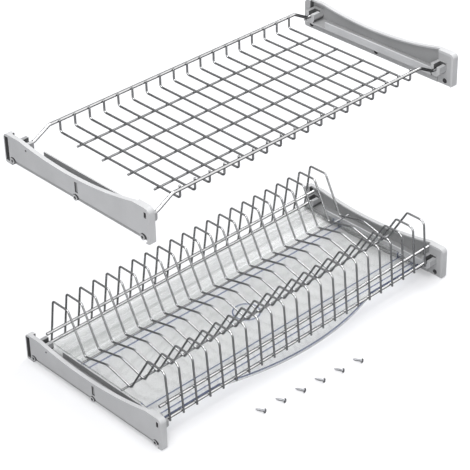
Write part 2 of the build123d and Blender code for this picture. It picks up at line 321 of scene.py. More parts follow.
def add_bump(sheet: Sheet, shader: bpy.types.Node, height: bpy.types.NodeSocket,
             depth: float, strength: float) -> None:
    """Feeds a height into a shader's normal.

    Args:
        sheet: The material's nodes.
        shader: The shader.
        height: The height, from 0 to 1.
        depth: Depth of the relief in metres.
        strength: Share of it that shows.
    """
    bump = sheet.add("ShaderNodeBump")
    bump.inputs["Distance"].default_value = depth
    bump.inputs["Strength"].default_value = strength
    sheet.join(height, bump.inputs["Height"])
    sheet.join(bump.outputs["Normal"], shader.inputs["Normal"])


# Finishes


@dataclass(frozen=True)
class PlatedFinish:
    """Bright or satin metal plate over steel wire."""

    name: str
    dark: Triple
    light: Triple
    smooth: float
    dull: float
    patch_scale: float = 55.0
    grain_scale: float = 1400.0
    grain_sharpness: float = 1.0
    grain_depth: float = 0.02 * MM
    grain_strength: float = 0.35
    # Painted shade: the colour that the plate darkens to at its edges, where it turns away from the
    # eye.
    painted_edge_shade: Triple = (0.18, 0.182, 0.187)
    painted_edge_shade_start: float = 0.05
    painted_edge_shade_end: float = 0.4

    def build(self) -> bpy.types.Material:
        """Builds the material, with painted shade that darkens the plate where it turns away from the
        eye.

        Returns:
            The material.
        """
        material, sheet, shader = new_material(self.name)
        patches = place_group(sheet, patchy_group(), Scale=self.patch_scale,
                              Low=self.smooth, High=self.dull)
        grain = place_group(sheet, grain_group(), Scale=self.grain_scale,
                            Sharpness=self.grain_sharpness)
        shader.inputs["Metallic"].default_value = 1.0
        plate = sheet.blend(patches.outputs["Mask"], self.dark, self.light)
        # Painted shade: the plate's colour darkens towards the edge colour as the surface turns away
        # from the eye.
        turn = sheet.add("ShaderNodeLayerWeight")
        edge = sheet.spread(turn.outputs["Facing"], self.painted_edge_shade_start, self.painted_edge_shade_end,
                            interpolation_type="SMOOTHSTEP")
        sheet.join(sheet.blend(edge, plate, self.painted_edge_shade), shader.inputs["Base Color"])
        sheet.join(patches.outputs["Value"], shader.inputs["Roughness"])
        add_bump(sheet, shader, grain.outputs["Height"], self.grain_depth, self.grain_strength)
        return material


@dataclass(frozen=True)
class MouldedFinish:
    """Satin moulded plastic with a fine mould grain."""

    name: str
    dark: Triple
    light: Triple
    smooth: float = 0.36
    dull: float = 0.5
    patch_scale: float = 22.0
    grain_scale: float = 1500.0
    grain_sharpness: float = 0.8
    grain_share: float = 0.5
    grain_depth: float = 0.06 * MM
    grain_strength: float = 0.5
    # Painted shade in pockets: its colour as a share of the dark colour, and the blocked shares where
    # it starts and where it is full.
    painted_shade_share: float = 0.2
    painted_shade_start: float = 0.06
    painted_shade_end: float = 0.48

    def build(self) -> bpy.types.Material:
        """Builds the material, with painted shade: darker where the moulding's pockets keep the light
        out.

        Returns:
            The material.
        """
        material, sheet, shader = new_material(self.name)
        patches = place_group(sheet, patchy_group(), Scale=self.patch_scale,
                              Low=self.smooth, High=self.dull)
        grain = place_group(sheet, grain_group(), Scale=self.grain_scale,
                            Sharpness=self.grain_sharpness)
        mask = sheet.math("MULTIPLY_ADD", grain.outputs["Mask"], self.grain_share,
                          sheet.math("MULTIPLY", patches.outputs["Mask"], 1.0 - self.grain_share))
        plain = sheet.blend(mask, self.dark, self.light)
        # Painted shade: faces that lie deep in pockets, judged by their share of blocked rays, get a
        # darker colour.
        depth = sheet.add("ShaderNodeAttribute", attribute_name=PAINTED_SHADE_ATTRIBUTE)
        pocket = sheet.spread(depth.outputs["Fac"], self.painted_shade_start, self.painted_shade_end)
        deep = [self.painted_shade_share * part for part in self.dark]
        sheet.join(sheet.blend(pocket, plain, deep), shader.inputs["Base Color"])
        sheet.join(patches.outputs["Value"], shader.inputs["Roughness"])
        shader.inputs["IOR"].default_value = PLASTIC_IOR
        add_bump(sheet, shader, grain.outputs["Height"], self.grain_depth, self.grain_strength)
        return material


@dataclass(frozen=True)
class ClearFinish:
    """Clear moulded plastic that lets light through to the floor, with painted blue-grey lines along
    its folds and painted light streaks on its rear slope.

    Each tint colours light that the plastic bends or mirrors, each shadow light that goes
    straight through.
    """

    name: str
    tint: Triple = (0.78, 0.79, 0.778)
    # Painted light: lighter streaks along the tray's width, strongest on the rear slope.
    painted_streak_tint: Triple = (0.94, 0.945, 0.94)
    # Painted blue-grey line colour along the folds, the drain ring and the front lip, for light that
    # is bent there.
    painted_fold_line_tint: Triple = (0.1, 0.13, 0.28)
    shadow: Triple = (0.87, 0.877, 0.872)
    # Painted light streaks for light that goes straight through.
    painted_streak_shadow: Triple = (0.99, 0.992, 0.99)
    # Painted fold line colour for light that goes straight through, so the lines also fall on the
    # floor.
    painted_fold_line_shadow: Triple = (0.5, 0.53, 0.64)
    see_through: float = 0.45
    slope_see_through: float = 0.8
    slope_start: float = 90.5 * MM
    slope_roughness: float = 0.2
    folds: tuple[float, ...] = (90.0 * MM, 78.51 * MM, -42.52 * MM, -69.54 * MM, -81.6 * MM)
    fold_width: float = 1.9 * MM
    ring_place: Point = (0.0, 20.93 * MM)
    ring_radius: float = 20.0 * MM
    lip_start: float = -84.0 * MM
    lip_height: float = 18.7 * MM
    streak_scale: float = 110.0
    streak_detail: float = 1.0
    streak_squeeze: float = 0.01
    streak_start: float = 0.42
    streak_end: float = 0.58
    floor_streaks: float = 0.15
    floor_level: float = 0.68
    smooth: float = 0.02
    dull: float = 0.07
    patch_scale: float = 26.0

    def painted_fold_line_mask(self, sheet: Sheet, axes: bpy.types.bpy_prop_collection) -> bpy.types.NodeSocket:
        """Marks the folds, the drain ring and the front lip, where blue-grey lines are painted for the
        light that the plastic bends there.

        Args:
            sheet: The material's nodes.
            axes: The place on the tray.

        Returns:
            1 on a fold, 0 elsewhere.
        """
        half = self.fold_width / 2
        mask: Any = 0.0
        for fold in self.folds:
            away = sheet.math("ABSOLUTE", sheet.math("SUBTRACT", axes["Y"], fold))
            mask = sheet.math("MAXIMUM", mask, sheet.math("LESS_THAN", away, half))
        sides = []
        for axis, middle in zip("XY", self.ring_place):
            away = sheet.math("SUBTRACT", axes[axis], middle)
            sides.append(sheet.math("MULTIPLY", away, away))
        radius = sheet.math("SQRT", sheet.math("ADD", *sides))
        off = sheet.math("ABSOLUTE", sheet.math("SUBTRACT", radius, self.ring_radius))
        ring = sheet.math("LESS_THAN", off, half)
        lip = sheet.math("MULTIPLY", sheet.math("LESS_THAN", axes["Y"], self.lip_start),
                         sheet.math("GREATER_THAN", axes["Z"], self.lip_height))
        return sheet.math("MAXIMUM", mask, sheet.math("MAXIMUM", ring, lip))

    def streaks(self, sheet: Sheet, slope: bpy.types.NodeSocket) -> bpy.types.NodeSocket:
        """Draws long soft streaks along the tray's width: painted light, standing in for the light
        that the ribbed rear slope catches.

        Args:
            sheet: The material's nodes.
            slope: 1 on the rear slope, where the streaks are strong, and 0 on the floor.

        Returns:
            A mask from 0 to 1.
        """
        place = sheet.add("ShaderNodeTexCoord")
        squash = sheet.add("ShaderNodeMapping")
        squash.inputs["Scale"].default_value = (self.streak_squeeze, 1.0, 1.0)
        sheet.join(place.outputs["Object"], squash.inputs["Vector"])
        noise = sheet.add("ShaderNodeTexNoise")
        noise.inputs["Scale"].default_value = self.streak_scale
        noise.inputs["Detail"].default_value = self.streak_detail
        sheet.join(squash.outputs[0], noise.inputs["Vector"])
        streak = sheet.spread(noise.outputs[0], self.streak_start, self.streak_end)
        share = sheet.math("MULTIPLY_ADD", slope, 1.0 - self.floor_streaks, self.floor_streaks)
        level = sheet.math("MULTIPLY_ADD", slope, -self.floor_level, self.floor_level)
        return sheet.math("MULTIPLY_ADD", streak, share, level)

    def build(self) -> bpy.types.Material:
        """Builds the material, a mix of clear plastic and plain see-through.

        Returns:
            The material.
        """
        material, sheet, shader = new_material(self.name)
        patches = place_group(sheet, patchy_group(), Scale=self.patch_scale,
                              Low=self.smooth, High=self.dull)
        through = sheet.add("ShaderNodeBsdfTransparent")
        axes = sheet.axes()
        slope = sheet.math("GREATER_THAN", axes["Y"], self.slope_start)
        streaks, folds = self.streaks(sheet, slope), self.painted_fold_line_mask(sheet, axes)
        # Painted light and shade: the fold lines and light streaks are mixed into both the bent and
        # the passing colour.
        for plain, streak, fold, target in (
                (self.tint, self.painted_streak_tint, self.painted_fold_line_tint, shader.inputs["Base Color"]),
                (self.shadow, self.painted_streak_shadow, self.painted_fold_line_shadow, through.inputs["Color"])):
            sheet.join(sheet.blend(folds, sheet.blend(streaks, plain, streak), fold), target)
        shader.inputs["Transmission Weight"].default_value = 1.0
        shader.inputs["IOR"].default_value = PLASTIC_IOR
        sheet.join(sheet.math("MULTIPLY_ADD", slope, self.slope_roughness, patches.outputs["Value"]),
                   shader.inputs["Roughness"])
        path = sheet.add("ShaderNodeLightPath")
        passed = sheet.math("MAXIMUM", path.outputs["Is Shadow Ray"], path.outputs["Is Diffuse Ray"])
        share = sheet.math("MULTIPLY_ADD", slope, self.slope_see_through - self.see_through,
                           self.see_through)
        mix = sheet.add("ShaderNodeMixShader")
        for socket, source in zip(mix.inputs, (sheet.math("MAXIMUM", passed, share),
                                               shader.outputs[0], through.outputs[0])):
            sheet.join(source, socket)
        sheet.join(mix.outputs[0], material.node_tree.nodes["Material Output"].inputs["Surface"])
        return material


# Painted shade darkens the edges of the rails more strongly than those of the thin wires.
RAIL_PLATE = PlatedFinish("bright chrome rail", (0.86, 0.86, 0.865), (0.96, 0.96, 0.965), 0.12, 0.2,
                          painted_edge_shade=(0.04, 0.041, 0.043), painted_edge_shade_start=0.12, painted_edge_shade_end=0.5)
WIRE_PLATE = PlatedFinish("chrome wire", (0.5, 0.505, 0.51), (0.64, 0.645, 0.65), 0.16, 0.26)
SCREW_PLATE = PlatedFinish("zinc screw", (0.4, 0.41, 0.43), (0.56, 0.57, 0.6), 0.22, 0.4,
                           patch_scale=260.0, grain_scale=3000.0)
BRACKET_PLASTIC = MouldedFinish("grey bracket plastic", (0.45, 0.452, 0.458), (0.555, 0.557, 0.563))
TRAY_PLASTIC = ClearFinish("clear tray plastic")


# Mesh and point helpers


def link(obj: bpy.types.Object) -> bpy.types.Object:
    """Links an object to the scene and returns it."""
    bpy.context.scene.collection.objects.link(obj)
    return obj


def mesh_object(name: str, build: Callable[[bmesh.types.BMesh], None]) -> bpy.types.Object:
    """Makes an object from mesh code.

    Args:
        name: The object's name.
        build: Fills an empty mesh.

    Returns:
        The object, linked to the scene.
    """
    bm = bmesh.new()
    build(bm)
    mesh = bpy.data.meshes.new(name)
    bm.to_mesh(mesh)
    bm.free()
    return link(bpy.data.objects.new(name, mesh))


def evaluated_copy(obj: bpy.types.Object, name: str) -> bpy.types.Object:
    """Turns an object and its modifiers into a plain mesh object, and removes the original.

    Args:
        obj: The object with its modifiers.
        name: Name of the result.

    Returns:
        The plain object, at the origin.
    """
    bpy.context.view_layer.update()
    depsgraph = bpy.context.evaluated_depsgraph_get()
    mesh = bpy.data.meshes.new_from_object(obj.evaluated_get(depsgraph), depsgraph=depsgraph)
    bpy.data.objects.remove(obj)
    mesh.name = name
    return link(bpy.data.objects.new(name, mesh))


def set_material(obj: bpy.types.Object, material: bpy.types.Material) -> None:
    """Gives an object one material on all its faces.

    Args:
        obj: The object.
        material: The material.
    """
    obj.data.materials.clear()
    obj.data.materials.append(material)
    for face in obj.data.polygons:
        face.material_index = 0


def hand_over(obj: bpy.types.Object, body: Body, nodes: Sequence[str] = ()) -> None:
    """Lets a finished piece ride on its body.

    Args:
        obj: The piece.
        body: The body that it rides on.
        nodes: Nodes that it stands for.
    """
    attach(obj, body.value)
    if nodes:
        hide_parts(*nodes)
    LOG.info("%s: %d faces on %s", obj.name, len(obj.data.polygons), body.value)


def centre_of(node: str) -> Vector:
    """Middle of a node's box."""
    low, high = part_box(node)
    return (low + high) / 2


def copies_group() -> bpy.types.NodeTree:
    """A geometry node tree that puts a copy of one shape on each point of a mesh.

    Returns:
        The tree, which reads the points' radius and axis.
    """
    name = "Copies on points"
    if name in bpy.data.node_groups:
        return bpy.data.node_groups[name]
    sheet, inner, outer = new_group(
        name, "GeometryNodeTree",
        {"Points": "Geometry", "Shape": "Object", "Flatness": "Float", "Size spread": "Float",
         "Seed": "Int", "Material": "Material"},
        {"Geometry": "Geometry"})
    shape = sheet.add("GeometryNodeObjectInfo")
    radius = sheet.add("GeometryNodeInputNamedAttribute", data_type="FLOAT")
    radius.inputs["Name"].default_value = "radius"
    axis = sheet.add("GeometryNodeInputNamedAttribute", data_type="FLOAT_VECTOR")
    axis.inputs["Name"].default_value = "axis"
    turn = sheet.add("FunctionNodeAlignRotationToVector", axis="Z")
    chance = sheet.add("FunctionNodeRandomValue", data_type="FLOAT")
    lowest, highest = [s for s in chance.inputs if s.type == "VALUE"][:2]
    spread = inner.outputs["Size spread"]
    factor = [s for s in chance.outputs if s.type == "VALUE"][0]
    wide = sheet.math("MULTIPLY", radius.outputs["Attribute"], factor)
    scale = sheet.add("ShaderNodeCombineXYZ")
    place = sheet.add("GeometryNodeInstanceOnPoints")
    real = sheet.add("GeometryNodeRealizeInstances")
    finish = sheet.add("GeometryNodeSetMaterial")
    for source, target in (
            (inner.outputs["Shape"], shape.inputs["Object"]),
            (axis.outputs["Attribute"], turn.inputs["Vector"]),
            (sheet.math("SUBTRACT", 1.0, spread), lowest),
            (sheet.math("ADD", 1.0, spread), highest),
            (inner.outputs["Seed"], chance.inputs["Seed"]),
            (wide, scale.inputs["X"]), (wide, scale.inputs["Y"]),
            (sheet.math("MULTIPLY", wide, inner.outputs["Flatness"]), scale.inputs["Z"]),
            (inner.outputs["Points"], place.inputs["Points"]),
            (shape.outputs["Geometry"], place.inputs["Instance"]),
            (turn.outputs[0], place.inputs["Rotation"]), (scale.outputs[0], place.inputs["Scale"]),
            (place.outputs[0], real.inputs[0]), (real.outputs[0], finish.inputs["Geometry"]),
            (inner.outputs["Material"], finish.inputs["Material"]),
            (finish.outputs[0], outer.inputs[0])):
        sheet.join(source, target)
    return sheet.tree


@dataclass(frozen=True)
class Blob:
    """One small round shape: where it is, how large, and which way it is flat."""

    place: Vector
    radius: float
    axis: Vector


def scatter(name: str, blobs: Sequence[Blob], shape: Callable[[bmesh.types.BMesh], None],
            **values: Any) -> bpy.types.Object:
    """Makes one mesh of a copy of a shape on each given place.

    Args:
        name: Name of the mesh.
        blobs: The places.
        shape: Fills an empty mesh with the shape, its axis along Z.
        values: Other inputs of the point tree, by name.

    Returns:
        The plain mesh object.
    """
    template = mesh_object(name + "_shape", shape)
    mesh = bpy.data.meshes.new(name + "_points")
    mesh.from_pydata([blob.place for blob in blobs], [], [])
    radius = mesh.attributes.new("radius", "FLOAT", "POINT")
    axis = mesh.attributes.new("axis", "FLOAT_VECTOR", "POINT")
    for number, blob in enumerate(blobs):
        radius.data[number].value = blob.radius
        axis.data[number].vector = blob.axis
    obj = link(bpy.data.objects.new(name + "_points", mesh))
    modifier = obj.modifiers.new("copies", "NODES")
    modifier.node_group = copies_group()
    inputs = {key.replace("_", " ").capitalize(): value for key, value in values.items()}
    inputs["Shape"] = template
    for item in modifier.node_group.interface.items_tree:
        if item.name in inputs:
            modifier[item.identifier] = inputs[item.name]
    result = evaluated_copy(obj, name)
    bpy.data.objects.remove(template)
    return result


def ball(segments: int, rings: int) -> Callable[[bmesh.types.BMesh], None]:
    """Makes mesh code for a smooth ball of radius 1.

    Args:
        segments: Faces around it.
        rings: Faces from pole to pole.

    Returns:
        The mesh code.
    """
    def build(bm: bmesh.types.BMesh) -> None:
        """Fills the mesh with the ball.

        Args:
            bm: The mesh.
        """
        bmesh.ops.create_uvsphere(bm, u_segments=segments, v_segments=rings, radius=1.0)
        for face in bm.faces:
            face.smooth = True

    return build


# Racks


@dataclass
class WireRack:
    """A welded wire rack: its packed wires get their plate, weld beads and dressed ends."""

    body: Body
    prefix: str
    rails: tuple[str, ...]
    thin: tuple[str, ...]
    rail_radius: float = 2.25 * MM
    wire_radius: float = 1.5 * MM
    bead_radius: float = 1.35 * MM
    bead_flatness: float = 0.8
    bead_spread: float = 0.12
    bead_seed: int = 11
    bead_faces: tuple[int, int] = (12, 8)
    end_flatness: float = 0.35
    end_faces: tuple[int, int] = (16, 8)
    members: list[str] = field(default_factory=list, init=False)

    def wires(self) -> list[str]:
        """Names of the rack's bent wires."""
        return sorted(n for n in self.members if n.startswith(self.prefix))

    def dress(self, frame: dict[str, Any], rail: bpy.types.Material,
              wire: bpy.types.Material) -> None:
        """Gives every wire its plate.

        Args:
            frame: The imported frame.
            rail: Finish of the thick wires.
            wire: Finish of the thin wires.
        """
        self.members = list(frame["record"]["behaviour"]["bodies"][self.body.value])
        for name in self.members:
            set_material(frame["nodes"][name], rail if name in self.rails else wire)

    def beads(self, wire: bpy.types.Material) -> None:
        """Puts a weld bead wherever a bent wire meets a long one.

        Args:
            wire: Finish of the beads.
        """
        blobs = [blob for name in self.wires() for blob in self.contacts(centre_of(name).x)]
        obj = scatter(f"{self.body.value}_welds", blobs, ball(*self.bead_faces),
                      flatness=self.bead_flatness, size_spread=self.bead_spread,
                      seed=self.bead_seed, material=wire)
        hand_over(obj, self.body)

    def contacts(self, x: float) -> list[Blob]:
        """Weld places on the bent wire at x.

        Args:
            x: Where the wire stands.

        Returns:
            One bead for each long wire that it crosses.
        """
        raise NotImplementedError

    def ends(self, wire: bpy.types.Material) -> None:
        """Rounds the cut ends of the wires.

        Args:
            wire: Finish of the ends.
        """
        blobs = self.long_ends() + self.bent_ends()
        obj = scatter(f"{self.body.value}_wire_ends", blobs, ball(*self.end_faces),
                      flatness=self.end_flatness, material=wire)
        hand_over(obj, self.body)

    def long_ends(self) -> list[Blob]:
        """Both ends of each wire along X.

        Returns:
            One blob for each end.
        """
        blobs = []
        for name in (*self.rails, *self.thin):
            low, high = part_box(name)
            middle = (low + high) / 2
            radius = self.rail_radius if name in self.rails else self.wire_radius
            for x, way in ((low.x, -1.0), (high.x, 1.0)):
                z = low.z + radius if name.startswith("glass") else middle.z
                blobs.append(Blob(Vector((x, middle.y, z)), radius, Vector((way, 0, 0))))
        return blobs

    def bent_ends(self) -> list[Blob]:
        """Both ends of each bent wire."""
        raise NotImplementedError


def nearest(point: Point, line: Sequence[Point]) -> Point:
    """Finds the nearest point of a line of straight runs.

    Args:
        point: The point.
        line: The corners of the line.

    Returns:
        The nearest point.
    """
    best, found = math.inf, point
    for (y0, z0), (y1, z1) in zip(line, line[1:]):
        length = (y1 - y0) ** 2 + (z1 - z0) ** 2
        share = ((point[0] - y0) * (y1 - y0) + (point[1] - z0) * (z1 - z0)) / length
        share = min(max(share, 0.0), 1.0)
        spot = (y0 + share * (y1 - y0), z0 + share * (z1 - z0))
        gap = math.dist(spot, point)
        if gap < best:
            best, found = gap, spot
    return found


@dataclass
class PlateRack(WireRack):
    """The lower rack, whose wires make two rows of hoops."""

    rear_lean: float = math.radians(9.0)
    front_lean: float = math.radians(4.5)
    rear_top: float = 98.0 * MM
    front_top: float = 101.0 * MM
    hoop_width: float = 32.5 * MM
    rear_slope: float = 31.0 * MM
    front_slope: float = 38.5 * MM
    foot: float = 36.5 * MM
    arch: float = 48.5 * MM
    weld_gap: float = 0.03 * MM

    def outline(self) -> list[Point]:
        """Centre line of a plate wire, from the rear to the front, as (y, z).

        Returns:
            The corners of the line.
        """
        rear = centre_of(self.rails[0])
        front = centre_of(self.rails[1])
        step = self.rail_radius + self.wire_radius + self.weld_gap
        bottom = rear.z - self.rail_radius

        def leg(rail: Vector, lean: float, way: float, z: float) -> float:
            """Middle of a leg at height z, where way is 1 behind its rail and -1 before it."""
            return rail.y + way * (step / math.cos(lean) - (z - rail.z) * math.tan(lean))

        back = leg(rear, self.rear_lean, 1.0, self.rear_top)
        fore = leg(front, self.front_lean, -1.0, self.front_top)
        foot = back - self.hoop_width - self.rear_slope
        valley = fore + self.hoop_width + self.front_slope
        return [(leg(rear, self.rear_lean, 1.0, bottom), bottom), (back, self.rear_top),
                (back - self.hoop_width, self.rear_top), (foot, self.foot),
                ((foot + valley) / 2, self.arch), (valley, self.foot),
                (fore + self.hoop_width, self.front_top), (fore, self.front_top),
                (leg(front, self.front_lean, -1.0, bottom), bottom)]

    def contacts(self, x: float) -> list[Blob]:
        """Weld places on the plate wire at x.

        Args:
            x: Where the wire stands.

        Returns:
            One bead for each long wire that it crosses.
        """
        line = self.outline()
        blobs = []
        for name in (*self.rails, *self.thin):
            middle = centre_of(name)
            y, z = nearest((middle.y, middle.z), line)
            way = Vector((0, y - middle.y, z - middle.z)).normalized()
            radius = self.rail_radius if name in self.rails else self.wire_radius
            spot = Vector((x, middle.y, middle.z)) + way * radius
            blobs.append(Blob(spot, self.bead_radius, way))
        return blobs

    def bent_ends(self) -> list[Blob]:
        """The feet of both legs of each plate wire.

        Returns:
            One blob for each foot.
        """
        line = self.outline()
        blobs = []
        for name in self.wires():
            x = centre_of(name).x
            for end, inner in ((line[0], line[1]), (line[-1], line[-2])):
                way = Vector((0, end[0] - inner[0], end[1] - inner[1])).normalized()
                blobs.append(Blob(Vector((x, *end)), self.wire_radius, way))
        return blobs


@dataclass
class GlassRack(WireRack):
    """The upper rack, whose wires make a flat floor between two rails."""

    rail_level: float = 361.0 * MM

    def contacts(self, x: float) -> list[Blob]:
        """Weld places on the cross wire at x.

        Args:
            x: Where the wire stands.

        Returns:
            One bead for each long wire that it crosses.
        """
        blobs = []
        for name in self.thin:
            middle = centre_of(name)
            spot = Vector((x, middle.y, middle.z + self.wire_radius))
            blobs.append(Blob(spot, self.bead_radius, Vector((0, 0, 1))))
        for name, way in zip(self.rails, (-1.0, 1.0)):
            spot = Vector((x, centre_of(name).y + way * self.rail_radius, self.rail_level))
            blobs.append(Blob(spot, self.bead_radius, Vector((0, way, 0))))
        return blobs

    def bent_ends(self) -> list[Blob]:
        """The upturned tips of each cross wire.

        Returns:
            One blob for each tip.
        """
        blobs = []
        for name in self.wires():
            low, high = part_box(name)
            x = (low.x + high.x) / 2
            for y in (low.y + self.wire_radius, high.y - self.wire_radius):
                blobs.append(Blob(Vector((x, y, high.z)), self.wire_radius, Vector((0, 0, 1))))
        return blobs


# Mouldings


@dataclass(frozen=True)
class SoftEdges:
    """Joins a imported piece's triangles into whole faces and rounds its sharp edges."""

    radius: float
    angle: float = math.radians(28.0)
    segments: int = 3
    merge: float = 0.01 * MM
    flatness: float = math.radians(0.6)
    crease: float = math.radians(3.0)

    def copy(self, node: bpy.types.Object, name: str) -> bpy.types.Object:
        """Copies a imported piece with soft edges.

        Args:
            node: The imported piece.
            name: Name of the copy.

        Returns:
            The softened copy.
        """
        bm = bmesh.new()
        bm.from_mesh(node.data)
        bmesh.ops.remove_doubles(bm, verts=bm.verts, dist=self.merge)
        bmesh.ops.dissolve_limit(bm, angle_limit=self.flatness, verts=bm.verts, edges=bm.edges)
        for face in bm.faces:
            face.smooth = True
        mesh = bpy.data.meshes.new(name)
        bm.to_mesh(mesh)
        bm.free()
        mesh.set_sharp_from_angle(angle=self.crease)
        obj = link(bpy.data.objects.new(name + "_draft", mesh))
        bevel = obj.modifiers.new("soft edges", "BEVEL")
        bevel.width = self.radius
        bevel.segments = self.segments
        bevel.limit_method = "ANGLE"
        bevel.angle_limit = self.angle
        bevel.harden_normals = True
        bevel.use_clamp_overlap = True
        return evaluated_copy(obj, name)


@dataclass(frozen=True)
class PocketShade:
    """Measures how deep each face of a moulding lies in a pocket or a corner, for painted shade in its
    colour.
    """

    reach: float = 14.0 * MM
    lift: float = 0.02 * MM
    rays: int = 20

    def directions(self) -> list[Vector]:
        """Directions spread over a half sphere about +Z, denser towards its top.

        Returns:
            The directions.
        """
        golden = math.pi * (3.0 - math.sqrt(5.0))
        found = []
        for number in range(self.rays):
            share = (number + 0.5) / self.rays
            flat = math.sqrt(share)
            found.append(Vector((flat * math.cos(golden * number),
                                 flat * math.sin(golden * number), math.sqrt(1.0 - share))))
        return found

    def paint(self, obj: bpy.types.Object) -> None:
        """Writes the share of blocked directions to each face's pocket attribute, which the finish
        paints as shade.

        Args:
            obj: The moulding.
        """
        mesh = obj.data
        bm = bmesh.new()
        bm.from_mesh(mesh)
        tree = BVHTree.FromBMesh(bm)
        bm.free()
        mesh.calc_loop_triangles()
        blocked = [0.0] * len(mesh.polygons)
        area = [0.0] * len(mesh.polygons)
        up = Vector((0.0, 0.0, 1.0))
        directions = self.directions()
        for triangle in mesh.loop_triangles:
            size = triangle.area
            if size <= 0.0:
                continue
            normal = mesh.polygons[triangle.polygon_index].normal
            start = Vector(triangle.center) + normal * self.lift
            turn = up.rotation_difference(normal)
            hits = sum(tree.ray_cast(start, turn @ way, self.reach)[0] is not None
                       for way in directions)
            blocked[triangle.polygon_index] += size * hits / self.rays
            area[triangle.polygon_index] += size
        shares = [part / whole if whole > 0.0 else 0.0 for part, whole in zip(blocked, area)]
        attribute = mesh.attributes.new(PAINTED_SHADE_ATTRIBUTE, "FLOAT", "FACE")
        attribute.data.foreach_set("value", shares)


@dataclass(frozen=True)
class SideBrackets:
    """The four grey mouldings, with the soft edges that a mould gives and painted shade in their
    pockets.
    """

    edges: SoftEdges = SoftEdges(0.45 * MM)
    shade: PocketShade = PocketShade()

    def dress(self, frame: dict[str, Any], plastic: bpy.types.Material) -> None:
        """Makes all four brackets.

        Args:
            frame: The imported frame.
            plastic: Their finish.
        """
        for tier in ("lower", "upper"):
            for side in ("left", "right"):
                node = f"{tier}_{side}_bracket"
                piece = self.edges.copy(frame["nodes"][node], f"{tier}_{side}_moulding")
                # Painted shade: the share of blocked rays goes onto each face, for the finish to
                # darken.
                self.shade.paint(piece)
                set_material(piece, plastic)
                hand_over(piece, Body.BRACKETS, [node])


@dataclass(frozen=True)
class DripTray:
    """The clear tray, with soft edges."""

    edges: SoftEdges = SoftEdges(0.4 * MM, angle=math.radians(20.0), segments=2)

    def dress(self, frame: dict[str, Any], plastic: bpy.types.Material) -> None:
        """Makes the tray.

        Args:
            frame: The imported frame.
            plastic: Its finish.
        """
        piece = self.edges.copy(frame["nodes"]["drip_tray"], "drip_tray_moulding")
        set_material(piece, plastic)
        hand_over(piece, Body.TRAY, ["drip_tray"])


# Screws


